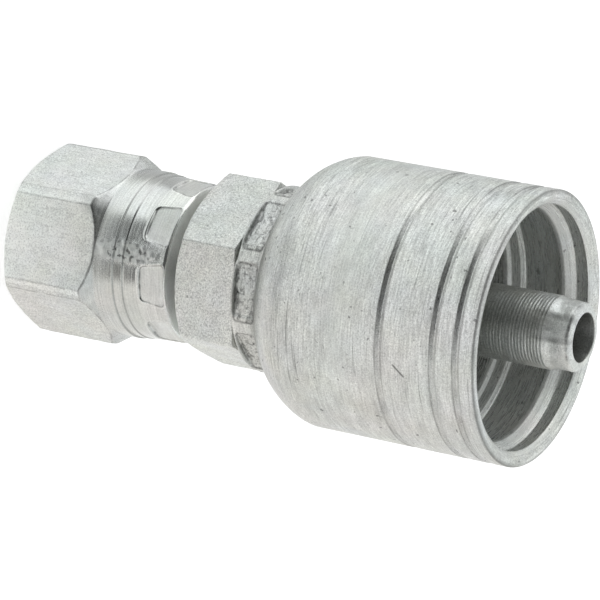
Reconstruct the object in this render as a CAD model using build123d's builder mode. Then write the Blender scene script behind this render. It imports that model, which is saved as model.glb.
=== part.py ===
from build123d import *

import os
from math import acos, cos, radians, sin, tan

# Hydraulic hose end with a swivel nut, before it is crimped onto its hose. All sizes are in millimetres.
# It stands on the front face of the nut, with the origin at that face's centre and +Z towards the hose.

# Head of the stem, which the nut turns on
head_d = 11.1
head_length = 3.3
head_edge = 0.15
seat_land = 0.75
seat_angle = 37
neck_d = 8.4

# Swivel fit between nut and head
swivel_clearance = 0.3
axial_play = 0.45

# Swivel nut: its collar is a wall round the head, and its hexagon just covers the collar
collar_wall = 1.03
collar_middle_rise = 0.08
collar_front_rise = 0.12
collar_end_taper = 0.18
collar_front_length = 1.8
collar_middle_length = 0.8
collar_step = 0.08
collar_edge = 0.22
lip_length = 1.45
wrench_flat_rise = 0.065
nut_corner_cut = 0.25
nut_face_margin = 0.395
nut_hex_length = 9.0
nut_corner_relief = 0.9
nut_angle = 4.7

# Thread of the nut, as its plain minor bore
thread_minor_d = 9.94
thread_mouth_chamfer = 0.78
thread_runout = 0.2

# Crimp flats that close the collar behind the head, cut in a little deeper towards the nut's end
crimp_count = 8
crimp_angle = 22.5
crimp_length = 2.2
crimp_end_land = 0.25
crimp_front_cut = 0.26
crimp_back_cut = 0.28

# Stem
hex_length = 5.77
hex_face_margin = 0.345
hex_angle = 18.2
hex_gap = 1.03
chamfer_angle = 30
shell_seat_d = 10.4
shell_seat_length = 4.65
hose_stop_length = 1.0

# Hose tail, whose fine turned rings are left to the visual model
tail_d = 6.0
tail_wall = 1.0
bore_edge = 0.06
tip_overhang = 4.04
tip_length = 2.65
tip_cut = 0.2
tip_taper_length = 0.9
tip_face_inset = 0.15
tip_face_depth = 0.17
tip_round = 0.22

# Lock between the staked shell and the stem
lock_start = 0.4
lock_length = 1.9
lock_depth = 0.5
lock_slope = 0.2
seat_clearance = 0.05

# Shell
shell_d = 22.5
shell_length = 24.05
shell_neck_d = 15.56
shell_neck_length = 2.6
shell_neck_edge = 0.2
shoulder_length = 4.1
shoulder_fullness = 1.5
shoulder_foot = 0.25
shell_floor = 4.85
shell_floor_slope = 1.2
shell_wall = 0.95
ridge_flank = 0.25
mouth_wall = 1.25
mouth_lead_width = 0.6
mouth_lead_depth = 0.45
mouth_land = 0.1
rim_edge = 0.16
bite_ridge_depth = 2.4
bite_ridge_height = 0.7
bite_ridge_flank = 0.67
bite_ridge_width = 0.35

# Grip ridges, which rise in two steps: a wide low one towards the mouth and a narrow high one behind it
grip_ridge_depth = 6.6
grip_low_height = 0.4
grip_low_width = 0.85
grip_high_height = 0.7
grip_high_width = 0.4
grip_ridge_count = 3
grip_ridge_floor_gap = 0.65

# Shallow turned grooves round the outside of the shell, whose far edges are measured back from its mouth
outer_groove_depths = (1.91, 3.96, 8.77)
outer_groove_flank = 0.38
outer_groove_width = 0.7
outer_groove_cut = 0.16

# Stake marks round the neck of the shell
stake_count = 8
stake_angle = 13.0
stake_start = 0.3
stake_foot_gap = 0.1
stake_depth = 0.46
stake_corner = 0.35

# Places along the axis
thread_end = nut_hex_length + thread_runout
head_front = thread_end + swivel_clearance
head_back = head_front + head_length
neck_start = head_back + (head_d - neck_d) / 2
counterbore_r = head_d / 2 + swivel_clearance
lip_r = neck_d / 2 + swivel_clearance
lip_slope_start = head_back + axial_play - swivel_clearance
lip_slope_end = lip_slope_start + counterbore_r - lip_r
nut_length = lip_slope_end + lip_length
hex_front = nut_length + hex_gap
hex_back = hex_front + hex_length
floor_face = hex_back + shell_floor
tail_start = hex_back + shell_seat_length + hose_stop_length
shell_mouth = hex_back + shell_length
tip_end = shell_mouth + tip_overhang
tip_start = tip_end - tip_length
chamfer_rise = tan(radians(chamfer_angle))


def chord_width(round_d, flat_distance):
    """Width of the flat that a plane at flat_distance from the axis cuts on a round of round_d."""
    return round_d * sin(acos(2 * flat_distance / round_d))


def flat_plane(angle, front_distance, back_distance, bottom, length):
    """Plane of a flat cut into a round, at an angle round the axis, with its origin at the flat's middle.

    It lies at front_distance from the axis at its bottom and at back_distance at its top.
    """
    outward = Vector(cos(radians(angle)), sin(radians(angle)), 0)
    across = Vector(-sin(radians(angle)), cos(radians(angle)), 0)
    along = Vector(0, 0, length) + outward * (back_distance - front_distance)
    origin = outward * (front_distance + back_distance) / 2 + Vector(0, 0, bottom + length / 2)
    return Plane(origin=origin, x_dir=across, z_dir=across.cross(along))


# Swivel nut
collar_back_r = counterbore_r + collar_wall
collar_middle_r = collar_back_r + collar_middle_rise
collar_front_r = collar_middle_r + collar_front_rise
collar_end_r = collar_back_r - collar_end_taper
wrench_flat_distance = collar_front_r + wrench_flat_rise
nut_corner_r = wrench_flat_distance / cos(radians(30)) - nut_corner_cut
nut_face_r = wrench_flat_distance - nut_face_margin
nut_chamfer_height = (nut_corner_r - nut_face_r) * chamfer_rise
collar_step_one = nut_hex_length + collar_front_length
collar_step_two = collar_step_one + collar_step + collar_middle_length
thread_r = thread_minor_d / 2
crimp_bottom = nut_length - crimp_end_land - crimp_length
crimp_front_distance = collar_back_r - crimp_front_cut
crimp_back_distance = collar_end_r - crimp_back_cut
crimp_width = 2 * collar_back_r * sin(radians(180 / crimp_count))

nut_turned_outline = [
    (0, 0),
    (nut_face_r, 0),
    (nut_corner_r, nut_chamfer_height),
    (nut_corner_r, nut_hex_length - nut_corner_relief),
    (collar_front_r, nut_hex_length),
    (0, nut_hex_length),
]
collar_outline = [
    (0, nut_hex_length - nut_corner_relief),
    (collar_front_r, nut_hex_length - nut_corner_relief),
    (collar_front_r, collar_step_one),
    (collar_middle_r, collar_step_one + collar_step),
    (collar_middle_r, collar_step_two),
    (collar_back_r, collar_step_two + collar_step),
    (collar_end_r, nut_length - collar_edge),
    (collar_end_r - collar_edge, nut_length),
    (0, nut_length),
]

# Room inside the nut: the head turns in the counterbore, and the crimped lip closes behind its sloped back
nut_room_outline = [
    (0, 0),
    (thread_r + thread_mouth_chamfer, 0),
    (thread_r, thread_mouth_chamfer),
    (thread_r, thread_end),
    (counterbore_r, thread_end),
    (counterbore_r, lip_slope_start),
    (lip_r, lip_slope_end),
    (lip_r, nut_length),
    (0, nut_length),
]

with BuildPart() as swivel_nut:
    with BuildSketch(Plane.XY):
        RegularPolygon(radius=wrench_flat_distance, side_count=6, major_radius=False, rotation=nut_angle)
    extrude(amount=nut_hex_length)
    with BuildSketch(Plane.XZ):
        with BuildLine():
            Polyline(*nut_turned_outline, close=True)
        make_face()
    revolve(axis=Axis.Z, mode=Mode.INTERSECT)
    with BuildSketch(Plane.XZ):
        with BuildLine():
            Polyline(*collar_outline, close=True)
        make_face()
    revolve(axis=Axis.Z)
    with BuildSketch(Plane.XZ):
        with BuildLine():
            Polyline(*nut_room_outline, close=True)
        make_face()
    revolve(axis=Axis.Z, mode=Mode.SUBTRACT)
    for mark in range(crimp_count):
        angle = crimp_angle + mark * 360 / crimp_count
        crimp = flat_plane(angle, crimp_front_distance, crimp_back_distance, crimp_bottom, crimp_length)
        with BuildSketch(crimp):
            Rectangle(crimp_width, crimp_length)
    extrude(amount=collar_back_r - crimp_back_distance, mode=Mode.SUBTRACT)
swivel_nut.part.label = "swivel_nut"


# Stem, whose hexagon takes the same wrench as the nut's
hex_corner_r = wrench_flat_distance / cos(radians(30))
hex_face_r = wrench_flat_distance - hex_face_margin
hex_chamfer_height = (hex_corner_r - hex_face_r) * chamfer_rise
lock_front = hex_back + lock_start
lock_back = lock_front + lock_length
shell_seat_r = shell_seat_d / 2
lock_r = shell_seat_r - lock_depth
tail_r = tail_d / 2
bore_r = tail_r - tail_wall
tip_r = tail_r - tip_cut
head_r = head_d / 2
seat_r = head_r - head_edge - seat_land
seat_depth = (seat_r - bore_r) / tan(radians(seat_angle))

hex_turned_outline = [
    (0, hex_front),
    (hex_face_r, hex_front),
    (hex_corner_r, hex_front + hex_chamfer_height),
    (hex_corner_r, hex_back),
    (0, hex_back),
]

stem_outline = [
    (bore_r, head_front + seat_depth),
    (seat_r, head_front),
    (head_r - head_edge, head_front),
    (head_r, head_front + head_edge),
    (head_r, head_back),
    (neck_d / 2, neck_start),
    (neck_d / 2, hex_front),
    (neck_d / 2, hex_back),
    (shell_seat_r, hex_back),
    (shell_seat_r, lock_front),
    (lock_r, lock_front + lock_slope),
    (lock_r, lock_back - lock_slope),
    (shell_seat_r, lock_back),
    (shell_seat_r, hex_back + shell_seat_length),
    (tail_r, tail_start),
    (tail_r, tip_start),
    (tip_r, tip_start + tip_taper_length),
    (tip_r, tip_end - tip_face_depth - tip_round),
    (tip_r - tip_face_inset, tip_end - tip_face_depth),
    (bore_r + bore_edge, tip_end),
    (bore_r, tip_end - bore_edge),
]

with BuildPart() as stem:
    with BuildSketch(Plane.XY.offset(hex_front)):
        RegularPolygon(radius=wrench_flat_distance, side_count=6, major_radius=False, rotation=hex_angle)
    extrude(amount=hex_length)
    with BuildSketch(Plane.XZ):
        with BuildLine():
            Polyline(*hex_turned_outline, close=True)
        make_face()
    revolve(axis=Axis.Z, mode=Mode.INTERSECT)
    with BuildSketch(Plane.XY.offset(hex_front)):
        Circle(bore_r)
    extrude(amount=hex_length, mode=Mode.SUBTRACT)
    with BuildSketch(Plane.XZ):
        with BuildLine():
            Polyline(*stem_outline, close=True)
        make_face()
    revolve(axis=Axis.Z)
stem.part.label = "stem"


# Shell
shell_r = shell_d / 2
shell_neck_r = shell_neck_d / 2
groove_bore_r = shell_r - shell_wall
mouth_r = shell_r - mouth_wall
bite_ridge_r = groove_bore_r - bite_ridge_height
grip_low_r = groove_bore_r - grip_low_height
grip_high_r = groove_bore_r - grip_high_height
shoulder_start = hex_back + shell_neck_length
hole_r = shell_seat_r + seat_clearance
bead_r = lock_r + seat_clearance
bead_front = lock_front + 2 * seat_clearance
bead_back = lock_back - 2 * seat_clearance
shoulder_angles = (25, 45, 65)


def shoulder_point(angle):
    """Point of the shell's rounded shoulder: 0 degrees is the end of its foot round, 90 the full diameter."""
    along = 1 - cos(radians(angle)) ** (2 / shoulder_fullness)
    outward = sin(radians(angle)) ** (2 / shoulder_fullness)
    radius = shell_neck_r + shoulder_foot + outward * (shell_r - shell_neck_r - shoulder_foot)
    return (radius, shoulder_start + along * shoulder_length)


def bite_ridge(front):
    """Outline of the ridge behind the mouth, from the mouth inwards."""
    return [
        (groove_bore_r, front + bite_ridge_flank),
        (bite_ridge_r, front),
        (bite_ridge_r, front - bite_ridge_width),
        (groove_bore_r, front - bite_ridge_width - ridge_flank),
    ]


def grip_ridge(front):
    """Outline of one grip ridge, from the mouth inwards."""
    high_front = front - grip_low_width - ridge_flank
    high_back = high_front - grip_high_width
    return [
        (groove_bore_r, front + ridge_flank),
        (grip_low_r, front),
        (grip_low_r, front - grip_low_width),
        (grip_high_r, high_front),
        (grip_high_r, high_back),
        (groove_bore_r, high_back - ridge_flank),
    ]


grip_ridge_length = grip_low_width + grip_high_width + 2 * ridge_flank
first_grip_ridge = shell_mouth - grip_ridge_depth
last_grip_ridge = floor_face + shell_floor_slope + grip_ridge_floor_gap + grip_ridge_length
grip_ridge_pitch = (first_grip_ridge - last_grip_ridge) / (grip_ridge_count - 1)
grip_ridges = []
for number in range(grip_ridge_count):
    grip_ridges += grip_ridge(first_grip_ridge - number * grip_ridge_pitch)

rim_inside_and_neck_outline = [
    (shell_r, shell_mouth - rim_edge),
    (shell_r - rim_edge, shell_mouth),
    (mouth_r + mouth_lead_width, shell_mouth),
    (mouth_r, shell_mouth - mouth_lead_depth),
    (mouth_r, shell_mouth - mouth_lead_depth - mouth_land),
    (groove_bore_r, shell_mouth - mouth_lead_depth - mouth_land - ridge_flank),
    *bite_ridge(shell_mouth - bite_ridge_depth),
    *grip_ridges,
    (groove_bore_r, floor_face + shell_floor_slope),
    (groove_bore_r - shell_floor_slope, floor_face),
    (hole_r, floor_face),
    (hole_r, bead_back),
    (bead_r, bead_back - lock_slope),
    (bead_r, bead_front + lock_slope),
    (hole_r, bead_front),
    (hole_r, hex_back),
    (shell_neck_r - shell_neck_edge, hex_back),
    (shell_neck_r, hex_back + shell_neck_edge),
    (shell_neck_r, shoulder_start - shoulder_foot),
]

stake_distance = shell_neck_r - stake_depth
stake_width = chord_width(shell_neck_d, stake_distance)
stake_bottom = hex_back + stake_start
stake_length = shoulder_start - shoulder_foot - stake_foot_gap - stake_bottom

with BuildPart() as shell:
    with BuildSketch(Plane.XZ):
        with BuildLine():
            RadiusArc(rim_inside_and_neck_outline[-1], shoulder_point(0), -shoulder_foot)
            Spline(shoulder_point(0), *[shoulder_point(angle) for angle in shoulder_angles],
                   shoulder_point(90), tangents=((1, 0), (0, 1)))
            Polyline(shoulder_point(90), *rim_inside_and_neck_outline)
        make_face()
    revolve(axis=Axis.Z)
    for depth in outer_groove_depths:
        groove_start = shell_mouth - depth
        with BuildSketch(Plane.XZ):
            with BuildLine():
                Polyline((shell_r, groove_start),
                         (shell_r - outer_groove_cut, groove_start + outer_groove_flank),
                         (shell_r, groove_start + outer_groove_width), close=True)
            make_face()
    revolve(axis=Axis.Z, mode=Mode.SUBTRACT)
    for mark in range(stake_count):
        angle = stake_angle + mark * 360 / stake_count
        with BuildSketch(flat_plane(angle, stake_distance, stake_distance, stake_bottom, stake_length)):
            RectangleRounded(stake_width, stake_length, stake_corner)
    extrude(amount=stake_depth, mode=Mode.SUBTRACT)
shell.part.label = "shell"

os.makedirs("parts", exist_ok=True)
export_step(swivel_nut.part, "parts/swivel_nut.step")
export_step(stem.part, "parts/stem.step")
export_step(shell.part, "parts/shell.step")
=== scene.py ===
from collections import namedtuple
from math import acos, cos, degrees, hypot, pi, radians, tan

import bpy
import numpy as np
from mathutils import Matrix, Vector, noise


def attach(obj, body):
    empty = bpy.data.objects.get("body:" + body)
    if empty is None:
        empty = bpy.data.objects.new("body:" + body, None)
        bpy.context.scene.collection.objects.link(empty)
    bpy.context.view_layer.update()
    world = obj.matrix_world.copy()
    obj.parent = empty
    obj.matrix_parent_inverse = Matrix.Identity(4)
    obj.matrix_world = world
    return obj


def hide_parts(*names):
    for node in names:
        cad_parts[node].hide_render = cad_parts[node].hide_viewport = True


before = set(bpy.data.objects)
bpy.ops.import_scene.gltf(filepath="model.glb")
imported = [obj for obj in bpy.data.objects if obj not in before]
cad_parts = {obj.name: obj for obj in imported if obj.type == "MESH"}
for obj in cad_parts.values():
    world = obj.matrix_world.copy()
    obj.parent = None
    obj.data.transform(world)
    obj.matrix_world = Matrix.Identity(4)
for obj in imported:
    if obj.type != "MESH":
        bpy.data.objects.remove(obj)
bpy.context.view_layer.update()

# Lengths below are in millimetres and angles in degrees, unless a comment says otherwise. Heights are
# measured along the axis from the nut's front face. Meshes are written in metres.
MM = 0.001
TINY = 1e-9

# Camera, fitted to the photograph: it looks at the shell from in front and above, rolled so that the fitting
# lies on its side in the picture. The two clip distances are in metres.
CAMERA_PLACE = (1.366, -277.885, 173.60)
CAMERA_RIGHT = (-0.19143, 0.46288, 0.86550)
CAMERA_UP = (-0.98151, -0.09028, -0.16880)
CAMERA_BACK = (0.0, -0.88181, 0.47160)
SENSOR_WIDTH = 36.0
FOCAL_PIXELS = 3835.0
FRAME_PIXELS = 600.0
CLIP_NEAR = 0.01
CLIP_FAR = 10.0

# The studio's light by direction. A patch has its direction, the dot products with it at which the patch
# begins and is full, and what it adds to the base light there. The picture's top is -X.
Patch = namedtuple("Patch", "side begins full change")
BASE_LIGHT = 1.0
BRIGHT_TOP = Patch((-0.93, -0.2, -0.3), 0.8, 0.92, 0.36)
DIM_BOTTOM = Patch((1.0, 0.0, 0.0), 0.4, 0.9, -0.04)
DIM_BACK = Patch((-0.5, 0.72, -0.47), 0.79, 0.93, -0.35)
DARK_ROOM = Patch((-0.27, -0.84, 0.48), 0.66, 0.82, -0.88)

# Tints of the light, and the side on which it is warm
COOL_LIGHT = (0.972, 1.0, 0.995)
WARM_LIGHT = (1.02, 1.0, 0.975)
WARM_SIDE = (0.914, 0.0, -0.406)
WARM_BEGINS = 0.1
WARM_FULL = 0.9

# A soft lamp at the picture's top, in metres and watts
LAMP_PLACE = (-0.6, 0.0, 0.3)
LAMP_TARGET = (0.0, 0.0, 0.025)
LAMP_SIZE = 0.5
LAMP_POWER = 0.6

# The floor, its half width in metres
FLOOR_HALF_WIDTH = 2.0
FLOOR_GREY = 0.6
FLOOR_GLOW = 0.65

# A dark curved card on the floor in front, which only polished metal near the floor shows
CARD_LOSS = 0.74
CARD_INNER_R = 23.0
CARD_OUTER_R = 36.0
CARD_SOFT = 3.0
CARD_SIDES = (0.95, 0.7)

# Rounded flats pressed in all round: their number, the angle of the first, where they start and end, the
# radius of their corners, the width of their walls and the height of the rim that they raise
PressedFlats = namedtuple("PressedFlats", "count first start end round_by wall rim")
FLAT_REACH_TURN = 30.0
FLAT_REACH_LENGTH = 0.6
RIM_FROM_EDGE = 0.13
RIM_WIDTH = 0.1

# A spot of wear, stain or painted reflection: its angle and height, how far it reaches across and along, and
# how soft its edge is
Spot = namedtuple("Spot", "angle height half_width half_length soft")

# Unevenness is a sum of layers of smooth noise, each with the size of its waves, a seed and a height.

# The nut
NUT_COLUMNS = 420
NUT_CLUSTER = 0.35
NUT_SHARPNESS = 140
NUT_FLATS = 14.29
NUT_CORNER_R = 8.0
NUT_CORNER_TURN = 30 - degrees(acos(NUT_FLATS / 2 / NUT_CORNER_R))
NUT_FACE_R = 6.75
NUT_ANGLE = 4.7
NUT_LENGTH = 15.75
NUT_END_EDGE = 0.22
HEX_END = 9.0
HEX_RELIEF = 0.9
CHAMFER_SLOPE = tan(radians(30))
COLLAR_FRONT_R = 7.08
COLLAR_MIDDLE_R = 6.96
COLLAR_BACK_R = 6.88
COLLAR_TAPER = 0.06
COLLAR_END_R = 6.7
RELIEF_SLOPE = HEX_RELIEF / (NUT_CORNER_R - COLLAR_FRONT_R)
STEP_ONE = 10.8
STEP_TWO = 11.68
STEP_LENGTH = 0.08
THREAD_MINOR_R = 4.97
THREAD_MAJOR_R = 5.55
THREAD_PITCH = 1.27
THREAD_CREST_SHARE = 0.25
THREAD_ROOT_SHARE = 0.125
THREAD_MOUTH_R = 5.75
THREAD_END = 9.2
COUNTERBORE_R = 5.85
LIP_R = 4.5
LIP_SLOPE_START = 12.95
LIP_SLOPE_END = 14.3
CRIMPS = PressedFlats(count=8, first=22.5, start=13.3, end=15.5, round_by=0.4, wall=0.08, rim=0.06)
CRIMP_RUN_IN = 0.25
CRIMP_DISTANCE_FRONT = 6.6
CRIMP_DISTANCE_BACK = 6.42
CRIMP_HALF_WIDTH_FRONT = 1.48
CRIMP_HALF_WIDTH_BACK = 1.87
MILLED_NUT = ((1.6, 3.0, 0.035), (0.55, 9.0, 0.02))
COLLAR_WAVES = ((2.2, 5.0, 0.018),)
CRIMP_GRAIN = ((0.7, 14.0, 0.012),)

# A smear of metal across the nut's collar, and a stain beside it
BURR = Spot(angle=272.0, height=12.0, half_width=0.9, half_length=2.9, soft=0.4)
BURR_RISE = 0.09
BURR_EDGE = 1.25
BURR_EDGE_WIDTH = 0.5
BURR_BASE = 0.6
BURR_LUMPS = ((0.4, 17.0, 1.0),)
STAIN = Spot(angle=248.0, height=8.4, half_width=0.7, half_length=1.2, soft=0.8)

# The stem
STEM_COLUMNS = 288
STEM_CLUSTER = 0.6
STEM_SHARPNESS = 160
HEX_FRONT = 16.78
HEX_BACK = 22.55
STEM_FLATS = 14.29
STEM_ANGLE = 18.2
STEM_FACE_R = 6.8
HEAD_R = 5.55
HEAD_FRONT = 9.5
HEAD_BACK = 12.8
HEAD_EDGE = 0.15
NECK_R = 4.2
NECK_START = 14.15
SEAT_R = 4.65
SEAT_DEPTH = 3.52
BORE_R = 2.0
BORE_EDGE_WIDTH = 0.08
BORE_EDGE_DEPTH = 0.1
SHELL_SEAT_R = 5.2
LOCK_R = 4.7
LOCK_FRONT = 22.95
LOCK_BACK = 24.85
LOCK_SLOPE = 0.2
SEAT_END = 27.2
TAIL_START = 28.2
TAIL_R = 3.0
RING_PITCH = 0.28
RING_DEPTH = 0.055
RING_VARIATION = 0.6
RING_SLOPE_SHARE = 0.35
RING_ROOT_SHARE = 0.7
RINGS_START = 31.13
RINGS_END = 48.27
TIP_R = 2.8
TIP_TAPER = 0.62
TIP_FACE_R = 2.65
TIP_EDGE_START = 0.39
TIP_EDGE_END = 0.17
TIP_END = 50.64
MILLED_STEM = ((1.3, 23.0, 0.03), (0.5, 29.0, 0.016))
RING_WEAR = ((0.45, 31.0, 0.02),)
TIP_WEAR = ((1.1, 37.0, 0.07), (0.4, 41.0, 0.02))
# Two dark bands painted on the tip as reflections of the surroundings
PAINTED_TIP_REFLECTIONS = (
    Spot(angle=243.0, height=49.2, half_width=0.28, half_length=1.5, soft=0.7),
    Spot(angle=284.0, height=49.3, half_width=0.22, half_length=1.3, soft=0.7),
)
# Painted shade on the tail: where it starts and where it is full, darkening towards the shell
SHELL_SHADE_START = 46.0
SHELL_SHADE_FULL = 42.5

# The shell
SHELL_COLUMNS = 384
SHELL_R = 11.25
SHELL_NECK_R = 7.78
SHELL_NECK_EDGE = 0.2
SHELL_CLEARANCE = 0.05
LOCK_CLEARANCE = 0.1
SHOULDER_START = 25.15
SHOULDER_LENGTH = 4.1
SHOULDER_FULLNESS = 1.5
SHOULDER_STEPS = 14
SHOULDER_FOOT = 0.25
SHOULDER_FOOT_SHARE = 0.3
STAKES = PressedFlats(count=8, first=13.0, start=22.85, end=24.8, round_by=0.4, wall=0.1, rim=0.05)
STAKE_DISTANCE = 7.32
STAKE_HALF_WIDTH = 2.5
FLOOR_HEIGHT = 27.4
FLOOR_SLOPE = 1.2
GROOVE_BORE_R = 10.3
RIDGE_FLANK = 0.25
MOUTH_HEIGHT = 46.6
MOUTH_R = 10.0
MOUTH_LEAD_WIDTH = 0.6
MOUTH_LEAD_DEPTH = 0.45
MOUTH_LAND = 0.1
RIM_EDGE = 0.16
BITE_RIDGE = 44.2
BITE_RIDGE_R = 9.6
BITE_FLANK = 0.67
BITE_WIDTH = 0.35
GRIP_RIDGES = (40.0, 35.5, 31.0)
GRIP_LOW_R = 9.9
GRIP_LOW_WIDTH = 0.85
GRIP_HIGH_R = 9.6
GRIP_HIGH_WIDTH = 0.4
OUTER_GROOVES = (37.83, 42.64, 44.69)
OUTER_GROOVE_FLANK = 0.38
OUTER_GROOVE_WIDTH = 0.7
OUTER_GROOVE_DEPTH = 0.16
STAKE_GRAIN = ((0.35, 51.0, 0.05), (0.16, 57.0, 0.03))
SHOULDER_WAVES = ((3.5, 61.0, 0.03),)

# A scratch on the shell's barrel, each end as an angle and a height, and the calmer part of the barrel
SCRATCH_START = (295.8, 39.43)
SCRATCH_END = (301.0, 40.53)
SCRATCH_HALF_WIDTH = 0.12
CALM_MIDDLE = 34.2
CALM_HALF_LENGTH = 3.6

# How light the plating is before its marks, at most 1, and its slight green tint
NUT_FLAT_LEVEL = 0.84
NUT_COLLAR_LEVEL = 0.605
STEM_HEX_LEVEL = 0.73
TAIL_LEVEL = 0.64
TIP_LEVEL = 0.68
SHELL_LEVEL = 0.673
LEVEL_LIMIT = 0.95
RED_SHARE = 0.985
BLUE_SHARE = 0.972

# Roughness of the plating
NUT_FLAT_ROUGHNESS = 0.5
NUT_MARK_ROUGHNESS = 0.38
COLLAR_FRONT_ROUGHNESS = 0.28
COLLAR_BACK_ROUGHNESS = 0.13
STEM_HEX_ROUGHNESS = 0.5
TAIL_ROUGHNESS = 0.36
SHELL_ROUGHNESS = 0.44
SHELL_INNER_ROUGHNESS = 0.28


# Sections turned round the axis, whose radius may change with the angle

# A corner has its radius and height, how far its round reaches, and the number of rows to the next corner.
Corner = namedtuple("Corner", "radius height round_by rows", defaults=(0.0, 1))
ROUND_SHARES = (0.0, 0.5)


def toward(here, there, distance):
    """The point that far from here on the way to there, column by column."""
    away = there - here
    length = np.maximum(np.hypot(away[0], away[1]), TINY)
    return here + away * np.minimum(distance / length, 0.5)


def rows_from(corners, angles):
    """Rows of radius and height for a closed section, one column for each angle."""
    shape = angles.shape
    places = [np.array([np.broadcast_to(corner.radius, shape), np.broadcast_to(corner.height, shape)], float)
              for corner in corners]
    rows = []
    for index, corner in enumerate(corners):
        following = (index + 1) % len(corners)
        here = places[index]
        leave = toward(here, places[following], corner.round_by)
        if corner.round_by > 0:
            arrive = toward(here, places[index - 1], corner.round_by)
            for share in ROUND_SHARES:
                rows.append((1 - share) ** 2 * arrive + 2 * share * (1 - share) * here + share ** 2 * leave)
        rows.append(leave)
        end = toward(places[following], here, corners[following].round_by)
        for step in range(1, corner.rows):
            rows.append(leave + (end - leave) * step / corner.rows)
    stacked = np.array(rows)
    return stacked[:, 0, :], stacked[:, 1, :]


def columns(count, first_corner, cluster):
    """Angles of the columns in radians, closer together near a hexagon's corners."""
    share = np.arange(count) / (count // 6)
    return radians(first_corner) + radians(60) * (share - cluster * np.sin(2 * pi * share) / (2 * pi))


def polygon_radius(angles, across_flats, first_corner, sharpness):
    """Distance from the axis to a hexagon with slightly rounded corners."""
    total = np.zeros_like(angles)
    for side in range(6):
        middle = radians(first_corner + 30 + 60 * side)
        total += np.maximum(np.cos(angles - middle), 0.0) ** sharpness
    return across_flats / 2 / total ** (1 / sharpness)


def smooth(share):
    """Eases a share from 0 to 1."""
    share = np.clip(share, 0.0, 1.0)
    return share * share * (3 - 2 * share)


def add_object(name, data):
    """A new object of the scene with that data."""
    made = bpy.data.objects.new(name, data)
    bpy.context.scene.collection.objects.link(made)
    return made


class Section:
    """A closed section turned round the axis, as rows of radii and heights with one column for each angle."""

    def __init__(self, corners, angles):
        self.angles = angles
        self.radii, self.heights = rows_from(corners, angles)

    def unevenness(self, layers):
        """Smooth noise on the surface, summed over its layers."""
        total = np.zeros_like(self.radii)
        for size, seed, height in layers:
            x = self.radii * np.cos(self.angles) / size + seed
            y = self.radii * np.sin(self.angles) / size
            z = self.heights / size
            values = [noise.noise(Vector(place)) for place in zip(x.ravel(), y.ravel(), z.ravel())]
            total += np.array(values).reshape(total.shape) * height
        return total

    def push(self, where, amount):
        """Moves the surface out along its own normal in the section."""
        along_r = np.roll(self.radii, -1, 0) - np.roll(self.radii, 1, 0)
        along_z = np.roll(self.heights, -1, 0) - np.roll(self.heights, 1, 0)
        length = np.maximum(np.hypot(along_r, along_z), TINY)
        moved = np.where(where, amount, 0)
        self.radii = self.radii + moved * along_z / length
        self.heights = self.heights - moved * along_r / length

    def raise_by(self, where, amount):
        """Moves the surface straight away from the axis."""
        self.radii = self.radii + np.where(where, amount, 0)

    def turn_from(self, mark):
        """Angle of each column from the mark, in radians and at most half a turn."""
        return np.angle(np.exp(1j * (self.angles - radians(mark))))

    def sink(self, flats, where, distance, half_width):
        """Presses flats into the surface to a distance from the axis, with a slight raised rim round each."""
        middle = (flats.start + flats.end) / 2
        half_length = (flats.end - flats.start) / 2
        from_middle = np.abs(self.heights - middle)
        along = from_middle - (half_length - flats.round_by)
        result = self.radii.copy()
        for mark in range(flats.count):
            turn = self.turn_from(flats.first + 360 / flats.count * mark)
            near = (np.abs(turn) < radians(FLAT_REACH_TURN)) & (from_middle < half_length + FLAT_REACH_LENGTH)
            across = np.abs(self.radii * np.sin(turn)) - (half_width - flats.round_by)
            inside = np.minimum(np.maximum(across, along), 0)
            edge = np.hypot(np.maximum(across, 0), np.maximum(along, 0)) + inside - flats.round_by
            target = distance / np.maximum(np.cos(turn), 0.5)
            sunk = smooth(-edge / flats.wall + 0.5)
            lower = self.radii + sunk * np.minimum(target - self.radii, 0)
            lower = lower + flats.rim * np.exp(-((edge - RIM_FROM_EDGE) / RIM_WIDTH) ** 2)
            result = np.where(near & where, lower, result)
        self.radii = result

    def mesh(self, name):
        """An object with a closed mesh of the surface, in metres."""
        places = [self.radii * np.cos(self.angles), self.radii * np.sin(self.angles), self.heights]
        points = np.stack(places, axis=-1)
        index = np.arange(self.radii.size).reshape(self.radii.shape)
        below = np.roll(index, -1, 0)
        faces = np.stack([index, np.roll(index, -1, 1), np.roll(below, -1, 1), below], axis=-1)
        data = bpy.data.meshes.new(name)
        data.from_pydata((points.reshape(-1, 3) * MM).tolist(), [], faces.reshape(-1, 4).tolist())
        data.polygons.foreach_set("use_smooth", [True] * len(data.polygons))
        data.update()
        return add_object(name, data)


# The nut

def thread_radius(angles, heights):
    """Radius of the internal thread: flats at crest and root, joined by sloping flanks."""
    turn = heights / THREAD_PITCH - angles / (2 * pi)
    place = turn - np.floor(turn)
    flank = (1 - THREAD_CREST_SHARE - THREAD_ROOT_SHARE) / 2
    rise = np.clip((place - THREAD_CREST_SHARE) / flank, 0, 1)
    fall = np.clip((place - THREAD_CREST_SHARE - flank - THREAD_ROOT_SHARE) / flank, 0, 1)
    return THREAD_MINOR_R + (THREAD_MAJOR_R - THREAD_MINOR_R) * (rise - fall)


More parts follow.
